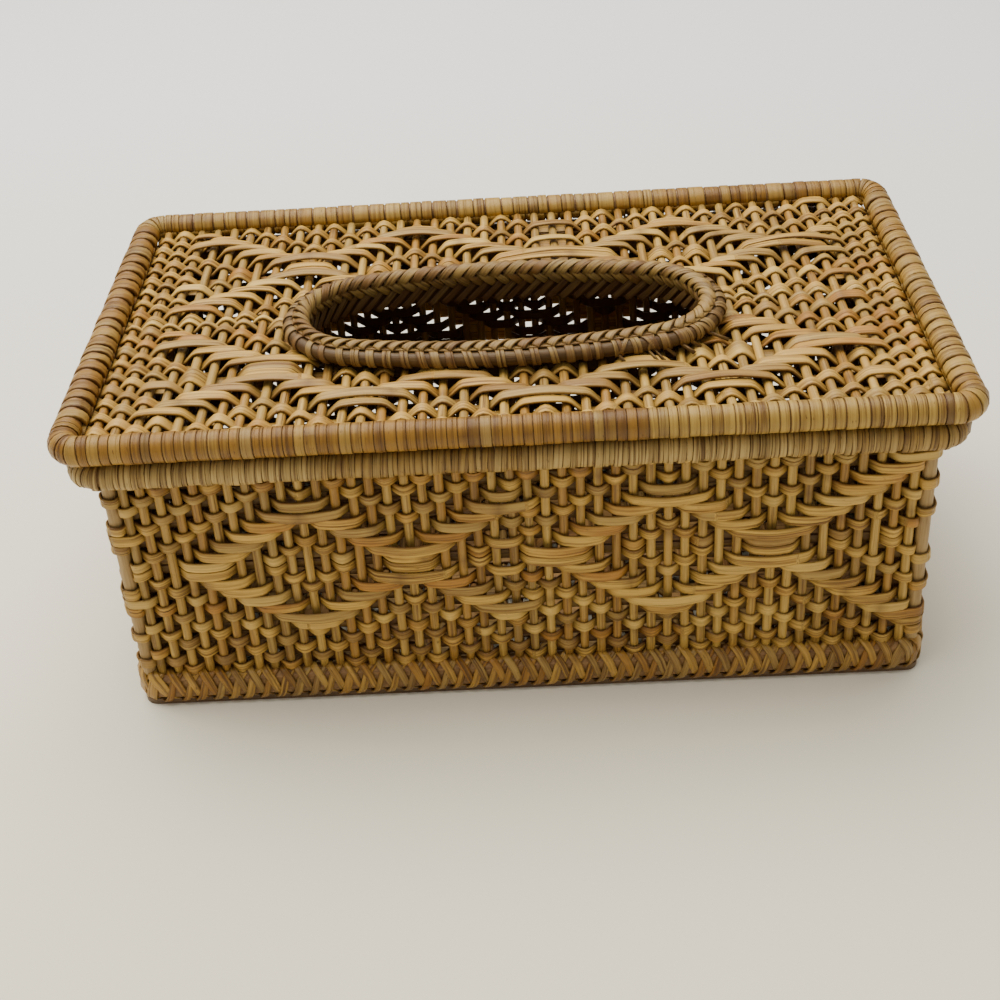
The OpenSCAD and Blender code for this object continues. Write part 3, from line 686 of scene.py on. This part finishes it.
def loop_point(far, loop):
    """Point, outward normal and bend of a rounded rectangle, from the front left on."""
    half_x, half_y, turn = loop
    straight = [2 * (half_x - turn), 2 * (half_y - turn)] * 2
    arc = math.pi / 2 * turn
    for k in range(4):
        angle = -math.pi / 2 + k * math.pi / 2
        out = np.array([math.cos(angle), math.sin(angle)])
        run = np.array([-out[1], out[0]])
        reach = half_y if k % 2 == 0 else half_x
        half = straight[k] / 2
        if far <= straight[k]:
            return out * reach + run * (far - half), out, 0.0
        far -= straight[k]
        if far <= arc or k == 3:
            a = min(far / turn, math.pi / 2)
            centre = out * (reach - turn) + run * half
            here = out * math.cos(a) + run * math.sin(a)
            return centre + here * turn, here, 1.0 / turn
        far -= arc


def wrap_turn(far, slant, width, thick, rod_r, loop, z, rings=15, lift=0.0, sag=0.0,
              crown=0.22, reach_in=0.0, **look):
    """One turn of flat cane round a rod: lifted, sagging below, reaching in over the weave."""
    line, face, wide = [], [], []
    for a in np.linspace(-math.pi, math.pi, rings):
        centre, out, bend = loop_point((far + slant * a / (2 * math.pi)) % loop_length(loop),
                                       loop)
        radius = rod_r + thick / 2 + lift + sag * max(0.0, -math.sin(a))
        here = np.array([*(out * math.cos(a)), math.sin(a)])
        inward = reach_in * max(0.0, -math.cos(a)) ** 0.7 * (0.5 + 0.5 * math.sin(a))
        line.append([*centre, z] + here * radius - inward * np.array([*out, 0.0]))
        face.append(here)
        wide.append(width * max(0.35, 1 + bend * radius * math.cos(a)))
    return lay_cane(line, face, np.array(wide), thick, flat=0.28, crown=crown, **look)


SIDES = ("front", "front_right", "right", "back_right", "back", "back_left", "left",
         "front_left")


def side_of(far, loop):
    """The name of the side, or of the corner, that this place on a loop belongs to."""
    half_x, half_y, turn = loop
    arc = math.pi / 2 * turn
    for name, length in zip(SIDES, [2 * (half_x - turn), arc, 2 * (half_y - turn), arc] * 2):
        if far < length:
            return name
        far -= length
    return SIDES[-1]


print("Round the lid frame:", round(loop_length(LID_LOOP)), "mm")

# %% [markdown]
# The rim of the box is wound with narrow cane of four widths, pressed close but
# never level: each turn stands out a little more or less and hangs loose below.

# %% Rim of the box
laid = []
far, total = 0.0, loop_length(RIM_LOOP)
tint = 0.4
while far < total - 1.0:
    pitch = dice.choice([1.5, 1.9, 2.3, 3.0], p=[0.3, 0.35, 0.25, 0.1])
    bend = 1.0 if "_" not in side_of(far, RIM_LOOP) else 0.72
    tint = np.clip(tint + dice.normal(0, 0.12), 0, 1)
    laid.append(wrap_turn(far + pitch / 2, pitch * dice.uniform(0.2, 1.1),
                          pitch * bend * 0.97, 0.7, HOOP_R, RIM_LOOP, RIM_Z,
                          tint=tint, shade=dice.uniform(0.62, 1.0), edges=0.7,
                          lift=dice.uniform(-0.24, 0.10), sag=dice.uniform(0.2, 0.9)))
    far += pitch * bend
gather("rim_wrapping", laid, rim_cane, "box", ["rim_wrap"])

# %% [markdown]
# The frame of the lid was wound by hand with care in front and in haste elsewhere.
# A table gives each side and corner its own kind of turn, and a slow walk of the
# tint keeps neighbours alike.

# %% Frame of the lid
# For each side: least and greatest pitch, share covered, slant, thickness, reach over the weave
LID_WRAP = {"front": (2.7, 3.7, 0.96, 0.5, 0.75, 0.6), "front_right": (2.4, 3.0, 0.9, 0.5, 0.8, 0),
            "right": (3.6, 7.6, 0.86, 3.6, 1.3, 1.9), "back_right": (2.4, 3.2, 0.9, 1.2, 0.9, 0),
            "back": (3.2, 6.4, 0.93, 1.4, 0.9, 1.2), "back_left": (2.4, 3.2, 0.9, 1.2, 0.9, 0),
            "left": (4.6, 7.8, 0.72, 4.0, 1.3, 1.9), "front_left": (1.9, 2.6, 0.9, 1.6, 0.8, 0)}


def lid_tone(far):
    """Warmer or paler, and how dark a stain: the front is straw to the right of the middle."""
    side = side_of(far, LID_LOOP)
    x = far - (LID_LOOP[0] - LID_LOOP[2])
    if side != "front":
        return (0.25, 0.0) if side in ("left", "front_left") else (0.0, 0.0)
    stained = dice.random() < math.exp(-((x - 27) / 9) ** 2) or dice.random() < 0.06
    return (-0.55 if x > 38 else 0.3), stained * dice.uniform(0.3, 0.7)


laid = []
far, total = 0.0, loop_length(LID_LOOP)
tint = 0.5
while far < total - 1.0:
    # A turn that starts just before a corner is already a narrow one
    here, next_side = side_of(far, LID_LOOP), side_of(far + 7.0, LID_LOOP)
    low, high, cover, slant, thick, reach_in = LID_WRAP[next_side if "_" in next_side else here]
    pitch = dice.uniform(low, high)
    tint = np.clip(0.5 + 0.75 * (tint - 0.5) + dice.normal(0, 0.11), 0, 1)
    warmth, stain = lid_tone(far)
    laid.append(wrap_turn(far + pitch / 2, -slant * dice.uniform(0.6, 1.3), pitch * cover,
                          thick, ROD_R, LID_LOOP, LID_Z, rings=17, tint=tint + warmth,
                          shade=dice.uniform(0.62, 1.0), dark=stain, edges=0.75,
                          crown=0.22 if thick < 1 else 0.6,
                          reach_in=reach_in * dice.uniform(0.4, 1.0),
                          lift=0.7 - thick - dice.uniform(0.0, 0.3)))
    far += pitch
gather("lid_frame_wrapping", laid, frame_cane, "lid", ["lid_frame_wrap"])

# %% [markdown]
# The foot is a rail with two families of flat strips that lean left and right
# and cross on its face like a braid: each lies over the other family on one
# half of its way and under it on the other half. A strip could be a flat ribbon
# shrunk onto the rail. Here each follows the rail's skin, a squared oval, from
# the inside under the rail, slanting up over the outside to the top.

# %% Foot border
RAIL_HALF_W, RAIL_HALF_H, STRIP_T, STRIP_TURN = 3.15, 4.95, 0.75, 1.95
FOOT_ROUND = loop_length(FOOT_LOOP)


def rail_skin(angle, grow):
    """A point on the squared oval round the rail: out and up from its middle."""
    a, b = RAIL_HALF_W + grow, RAIL_HALF_H + grow
    c, s = math.cos(angle), math.sin(angle)
    return (a * math.copysign(abs(c) ** 0.66, c), b * math.copysign(abs(s) ** 0.66, s))


def foot_strip(far, lean, over):
    """A strip that leans that much to one side and lies over the others in its upper half."""
    line, face, wide = [], [], []
    for a in np.linspace(-STRIP_TURN, STRIP_TURN, 13):
        by, up = rail_skin(a, 0.48 + over * math.sin(a * 1.8))
        point, out, bend = loop_point((far + lean * a / STRIP_TURN) % FOOT_ROUND, FOOT_LOOP)
        line.append([*(point + out * by), FOOT_Z + up])
        face.append([*(out * math.cos(a)), math.sin(a)])
        wide.append(1 + bend * by * 0.8)
    return lay_cane(line, face, dice.uniform(2.2, 2.9) * np.array(wide), STRIP_T,
                    tint=dice.beta(2, 2), shade=dice.uniform(0.6, 1.0), sides=8)


laid = []
far = 0.0
while far < FOOT_ROUND - 2.0:
    step = 5.3 if "_" not in side_of(far, FOOT_LOOP) else 3.1
    laid.append(foot_strip(far + dice.normal(0, 0.2), -0.85 * step, 0.42))
    laid.append(foot_strip(far + step / 2 + dice.normal(0, 0.2), 0.85 * step, -0.42))
    far += step
gather("foot_border", laid, foot_cane, "box", ["foot_lashing"])

# %% [markdown]
# The floor is seen only through the opening and the open box, so it is plain:
# stakes from front to back, and broad canes that pass over four and under four.

# %% Floor
FLOOR_Z, FLOOR_STAKES, FLOOR_ROWS = 6.4, 46, 13
FLOOR_PITCH, FLOOR_ROW = 5.289, 10.523
# Stakes and canes of the floor take the darker floor finish, painted shade inside the box
laid = []
floor_places = np.linspace(-119.0, 119.0, FLOOR_STAKES)
for place in floor_places:
    line = np.column_stack([place + wavy(14, 0.12), np.linspace(-68.3, 68.3, 14),
                            FLOOR_Z + wavy(14, 0.05)])
    laid.append(lay_cane(line, (0, 0, 1), 2.95, 2.95, flat=1.0, sides=8, **hue(0.7, 0.95)))
gather("floor_stakes_laid", laid, floor_cane_painted_shade, "box", ["floor_stakes"])

laid = []
for r in range(FLOOR_ROWS):
    y = -68.4 + (r + 0.5) * FLOOR_ROW
    sides = np.array([1 if (i // 4 + r) % 2 == 0 else -1 for i in range(FLOOR_STAKES)])
    along, out, _ = float_lines(floor_places, sides, 4, FLOOR_PITCH, 0.0)
    # The first and the last row end short, at the round corners of the rail
    reach = 123.3 if 0 < r < FLOOR_ROWS - 1 else 121.8
    along = np.pad(along, 1, constant_values=(-reach, reach))
    out = np.pad(out, 1, mode="edge")
    line = np.column_stack([along, np.full(len(along), y), FLOOR_Z + out])
    run = {**cane_run(along + 130, splices(260, 90, 200)), "groove": 0.0}
    laid.append(lay_cane(line, (0, 0, 1), 9.6, 0.9, **run))
gather("floor_canes", laid, floor_cane_painted_shade, "box", ["floor_weave"])


# %% [markdown]
# The opening is an oval of four arcs, two tight and two long ones. A scaled circle
# would be simpler, but arcs keep rod, collar and plait equally far from the edge.

# %% The oval
def oval_x(y, out):
    y = abs(y)
    if y > (END_R + out) * math.cos(OVAL_TURN):
        return math.sqrt(max(0.0, (LONG_R + out) ** 2 - (y + LONG_Y) ** 2))
    return END_X + math.sqrt((END_R + out) ** 2 - y * y)


def oval_y(x, out):
    x = abs(x)
    if x <= END_X + (END_R + out) * math.sin(OVAL_TURN):
        return math.sqrt((LONG_R + out) ** 2 - x * x) - LONG_Y
    return math.sqrt(max(0.0, (END_R + out) ** 2 - (x - END_X) ** 2))


# Middle, radius, first angle and turn of each arc, from the right end on
OVAL_ARCS = [(END_X, 0.0, END_R, OVAL_TURN - math.pi / 2, math.pi - 2 * OVAL_TURN),
             (0.0, -LONG_Y, LONG_R, math.pi / 2 - OVAL_TURN, 2 * OVAL_TURN),
             (-END_X, 0.0, END_R, math.pi / 2 + OVAL_TURN, math.pi - 2 * OVAL_TURN),
             (0.0, LONG_Y, LONG_R, -math.pi / 2 - OVAL_TURN, 2 * OVAL_TURN)]
OVAL_ROUND = sum(radius * turn for _, _, radius, _, turn in OVAL_ARCS)


def oval_point(share, out):
    """Point and outward normal on the oval, at a share of its round."""
    walk = (share % 1.0) * OVAL_ROUND
    for x, y, radius, start, turn in OVAL_ARCS:
        if walk <= radius * turn:
            a = start + walk / radius
            here = np.array([math.cos(a), math.sin(a)])
            return np.array([OPEN_X + x, OPEN_Y + y]) + (radius + out) * here, here
        walk -= radius * turn
    return oval_point(0.0, out)


print("The oval is", round(OVAL_ROUND), "mm round")

# %% [markdown]
# The stakes of the lid run from front to back and stop at the oval. A boolean
# could trim them there. Laid in two lengths they keep their ends closed.

# %% Stakes of the lid
def spans(half, middle, reach):
    """From edge to edge of the lid, or up to the opening from both sides."""
    if reach > 0:
        return [(-half, middle - reach), (middle + reach, half)]
    return [(-half, half)]


lid_x = (np.arange(LID_STAKES) - (LID_STAKES - 1) / 2) * LID_PITCH
lid_x = lid_x + dice.normal(0, 0.10, LID_STAKES)
laid = []
for x in lid_x:
    near = max(0.0, abs(x - OPEN_X) - 1.6)
    # The end goes 0.8 mm into the collar
    start = oval_y(near, -0.8) if near < OPEN_HALF_X - 0.8 else 0.0
    for a, b in spans(LID_IN_Y, OPEN_Y, start):
        n = 26 if b - a > 100 else 16
        y = np.linspace(a + 0.1, b - 0.1, n)
        size = STAKE_D * dice.uniform(0.95, 1.03)
        edge = np.minimum(LID_IN_Y - np.abs(y), 6.0) / 6.0
        rise = (1 - edge) * 0.9
        line = np.column_stack([x + wavy(n, 0.12), y, WEAVE_Z + wavy(n, 0.06) + rise])
        laid.append(lay_cane(line, (0, 0, 1), size, size, flat=1.0, sides=10, inner_face_painted_shade=0.5,
                             **hue(0.75)))
gather("lid_stakes_laid", laid, stake_cane, "lid", ["lid_stakes"])


# %% [markdown]
# The same flat canes run from end to end between the stakes. Their long floats
# make zigzag bands, whose turning points were counted in the photograph: stakes
# first, then rows. Nothing presses on a long float, so it arches up.

# %% Rows of the lid
ZIGZAG = {"front": ([2, 9, 14, 18, 23, 28, 32, 38, 42], [2, 9, 4, 8, 3, 8, 4, 10, 6]),
          "back": ([1, 3, 10, 16, 23, 25, 31, 37, 42], [4, 2, 9, 3, 10, 10, 4, 10, 5])}


def lid_side(half, s, r):
    """The long floats follow a zigzag, which the rows past its points mirror."""
    if s < 4 or s > 39:
        return 1 if (s + r) % 2 else -1
    q = r if r <= 9 else 19 - r
    d = q - int(round(np.interp(s, *ZIGZAG[half])))
    return 1 if d == 0 or abs(d) % 3 == 1 else -1


def lid_row(y, width, sides, per, thick, bulge, bow, low=60, high=170):
    """A row at y, in one length, or in two where the opening is in its way."""
    near = max(0.0, abs(y - OPEN_Y) - width / 2)
    reach = oval_x(near, -0.9) if near < OPEN_HALF_Y - 0.9 else 0.0
    laid = []
    for a, b in spans(LID_IN_X, OPEN_X, reach):
        pick = (lid_x > a + 1.7) & (lid_x < b - 1.7)
        along, out, lift = float_lines(lid_x[pick], sides[pick], per, LID_PITCH, bulge)
        n_a = max(1, int(round((along[0] - a) / 2.2)))
        n_b = max(1, int(round((b - along[-1]) / 2.2)))
        before = np.linspace(a, along[0], n_a + 1)[:-1]
        after = np.linspace(along[-1], b, n_b + 1)[1:]
        out = np.concatenate([out[0] * ((before - a) / (along[0] - a)) ** 0.6, out,
                              out[-1] * ((b - after) / (b - along[-1])) ** 0.6])
        lift = np.pad(lift, (n_a, n_b))
        along = np.concatenate([before, along, after])
        sway = wavy(len(along), 0.12) + math.copysign(bow, y) * lift
        line = np.column_stack([along, y + sway, WEAVE_Z + out])
        run = cane_run(along + 131, splices(262, low, high))
        wide = (width + 0.08 * lift) * (1 + 0.05 * np.sin(along / 17 + y))
        # Painted shade: a lid cane is darker where it dips below the stakes
        deep = 0.32 * np.clip((SWAY - out) / (2 * SWAY), 0, 1)
        laid.append(lay_cane(line, (0, 0, 1), wide, thick, roll=0.12 * np.sin(along / 13 + y),
                             dark=deep, inner_face_painted_shade=0.5, **run))
    return laid


for half, mark in (("front", -1), ("back", 1)):
    laid = []
    for r in range(1, LID_ROWS + 1):
        y = mark * (LID_IN_Y - (r - 0.5) * LID_ROW)
        sides = np.array([lid_side(half, s, r) for s in range(1, LID_STAKES + 1)])
        laid += lid_row(y, 4.15 if mark < 0 else 3.7, sides, STEPS, CANE_T, 0.42, 0.12)
    gather("lid_canes_" + half, laid, flat_cane, "lid", ["lid_weave_" + half])

laid = []
for mark in (-1, 1):
    sides = np.array([mark if s % 2 == 0 else -mark for s in range(1, LID_STAKES + 1)])
    laid += lid_row(mark * 1.15, 2.2, sides, 6, 1.0, 0.0, 0.0, 40, 90)
gather("lid_twined_strands", laid, pale_cane, "lid", ["lid_twining"])

# %% [markdown]
# Round the opening lies a rod, lashed to the weave with short turns of thin
# cane: some single, some doubled. The rod itself shows between them. At the
# two ends the turns open like a fan and their tails lie on the weave. An array
# along a curve would space the turns too evenly, so the dice moves each one.

# %% Lashing of the opening
def ring_turn(share, width, start, end, slant, tail=0.0):
    """A strip over the rod, from the outside over the top, at a share of the round."""
    line, face = [], []
    for a in np.linspace(start, end, 13):
        point, out = oval_point(share - slant * (a - end) / OVAL_ROUND, RING_OUT)
        here = np.array([*(out * math.cos(a)), math.sin(a)])
        line.append([*point, RING_Z] + here * (RING_R + 0.24))
        face.append(here)
    if tail > 0:
        point, out = oval_point(share - slant * (start - end) / OVAL_ROUND + 1.5 / OVAL_ROUND,
                                RING_OUT + RING_R + tail)
        line.insert(0, [*point, 104.0])
        face.insert(0, [*(out * 0.3), 1.0])
    return lay_cane(line, face, width, 0.5, **hue(0.7))


TURNS = 64
laid, tails = [], []
for i in range(TURNS):
    share = (i + dice.uniform(-0.15, 0.15)) / TURNS
    slant = dice.uniform(0.1, 0.9)
    if dice.random() < 0.4:
        for shift in (-0.72, 0.72):
            laid.append(ring_turn(share + shift / OVAL_ROUND, 1.35, -1.2, 2.2, slant))
    else:
        laid.append(ring_turn(share, dice.uniform(2.3, 3.0), -1.2, 2.2, slant))
for middle in (0.0, 0.5):
    for k in range(-3, 4):
        share = middle + (k * 3.6 + dice.uniform(-0.8, 0.8)) / OVAL_ROUND
        tails.append(ring_turn(share, dice.uniform(1.3, 1.9), -0.5, 2.0,
                               dice.uniform(-1.5, 1.5), dice.uniform(2.0, 6.0)))


def oval_cane(out, up, width, thick, flat_down=False, **look):
    """A cane right round the opening, whose ends meet at the back on the left."""
    ways = [oval_point(0.36 + 0.9997 * k / 160, out) for k in range(161)]
    line = [[*point, up] for point, _ in ways]
    face = (0, 0, 1) if flat_down else [[*away, 0.0] for _, away in ways]
    return lay_cane(line, face, width, thick, **look)


gather("opening_rod_laid", [oval_cane(RING_OUT, RING_Z, 2 * RING_R, 2 * RING_R, flat=1.0)],
       rod_cane, "lid", ["opening_rod"])
# Painted shade: the collar inside the opening is darkened strongly
gather("opening_collar_laid", [oval_cane(-1.75, 104.1, 11.3, 1.4, dark=0.8)],
       rod_cane, "lid", ["opening_collar"])
gather("opening_lashing_laid", laid, ring_cane, "lid", ["opening_lashing"])
gather("opening_tails", tails, ring_cane, "lid", [])

# %% [markdown]
# The edge is plaited from strips that stand on the inner face. One family leans
# to the right, lines the opening, dips behind a knuckle and comes out again to
# roll over the edge. The other leans to the left: it makes the knuckle, then
# dives under its neighbour. On the near side only the rolled tops show, like a
# row of leaves. Each strip is a smooth line through a few chosen stops, given as
# (back along the edge, out from the edge, height). It is copied round the oval.

# %% Plait round the opening
STRIPS, ROLL_Z = 72, 107.5
LINING_WAY = [(-8.2, -2.9, 98.0), (-5.6, -3.1, 100.6), (-3.0, -3.2, 103.4), (-0.6, -3.05, 106.0)]
OVER_WAY = [(-0.9, -3.0, 105.6), (0.5, -3.35, 107.0), (1.8, -3.9, 108.6), (3.2, -3.5, 110.1),
            (4.8, -2.4, 110.8), (6.2, -1.2, 110.95), (7.4, -0.2, 110.5), (8.1, 0.5, 109.7)]
UNDER_WAY = [(3.0, -3.1, 104.6), (1.7, -3.8, 105.7), (0.3, -4.1, 106.9), (-1.1, -3.6, 108.2),
             (-2.5, -2.7, 109.4), (-3.8, -1.7, 110.1), (-4.9, -0.7, 110.2), (-5.6, 0.2, 109.5)]


def edge_strip(share, stops, count, width, thick, **look):
    """A strip through those stops. It faces the opening, and upwards where it rolls over."""
    line, face, wide = [], [], []
    for along, out_by, up in smooth_way(stops, count):
        point, out = oval_point(share - along / OVAL_ROUND, out_by)
        beside, _ = oval_point(share - (along + 0.5) / OVAL_ROUND, out_by)
        rise = max(0.0, up - ROLL_Z)
        outward = out_by + 0.6 if rise > 0 else -3.0
        line.append([*point, up])
        face.append([*(out * outward), rise])
        wide.append(width * (np.linalg.norm(beside - point) / 0.5) ** 0.8)
    return lay_cane(line, face, np.array(wide), thick, **look)


laid, lining = [oval_cane(-1.0, 109.55, 4.0, 0.8, flat_down=True)], []
for i in range(STRIPS):
    share = (i + dice.uniform(-0.06, 0.06)) / STRIPS
    look = hue(0.75)
    laid.append(edge_strip(share, OVER_WAY, 18, dice.uniform(2.7, 3.1), 0.8, **look))
    laid.append(edge_strip(share + 0.4 / STRIPS, UNDER_WAY, 18, dice.uniform(2.3, 2.7), 0.75,
                           **hue(0.7)))
    # Painted shade: the lining strips darken deeper into the opening and take the darker ring
    # finish
    lining.append(edge_strip(share, LINING_WAY, 9, dice.uniform(2.0, 2.6), 0.6,
                             dark=np.linspace(0.75, 0.25, 9), **look))
gather("opening_plait_strips", laid, plait_cane, "lid",
       ["opening_plait", "plait_core"])
gather("opening_lining", lining, ring_cane, "lid", [])

# %% [markdown]
# The cover stands on a pale cloth under soft light from above and behind, as in
# the photograph, so the front wall lies in gentle shade and the gaps go dark. A
# bright sky would light the inside too, so one broad lamp does most of the work.

# %% Stage
net = Finish("stage_cloth")
place = net.add("ShaderNodeTexCoord", output=3)
folds = net.noise(place, 2.2, 3.0)
# Painted light: the cloth is paler and bluer towards the back, for the cool light from behind
back = ((net.parts(place)[1] + 0.75) * 1.6).limited()
cloth = net.mix(back, (0.92, 0.87, 0.70), (0.92, 0.94, 1.0))
# Painted shade: the cloth is also darker where the folds rise
net.to("Base Color", net.mix(folds * 0.3, cloth, (0.84, 0.80, 0.70)))
net.to("Roughness", 0.85 + (folds - 0.5) * 0.1)
net.bump(folds, 0.25, 0.01)
bpy.ops.mesh.primitive_plane_add(size=6.0, location=(0, 0.6, 0))
floor = bpy.context.object
floor.name = "stage_floor"
floor.data.materials.append(net.material)


def lamp(name, place, aim, size, power, tone):
    bpy.ops.object.light_add(type="AREA", location=place)
    light = bpy.context.object
    light.name = name
    light.data.size = size
    light.data.energy = power
    light.data.color = tone
    way = np.array(aim, float) - np.array(place, float)
    back = -way / np.linalg.norm(way)
    right = np.cross([0, 0, 1.0], back)
    right /= np.linalg.norm(right)
    stand(light, place, right, np.cross(back, right), back)


lamp("soft_top", (-0.30, 0.36, 1.25), (0, 0, 0.05), 1.6, 43.0, (1.0, 0.945, 0.83))
lamp("soft_front", (0.5, -1.4, 0.9), (0, 0, 0.05), 1.6, 0.5, (1.0, 0.96, 0.88))
world = bpy.data.worlds.new("studio")
world.use_nodes = True
sky = world.node_tree.nodes["Background"]
sky.inputs["Color"].default_value = (1.0, 0.98, 0.94, 1.0)
sky.inputs["Strength"].default_value = 0.41
bpy.context.scene.world = world

# %% [markdown]
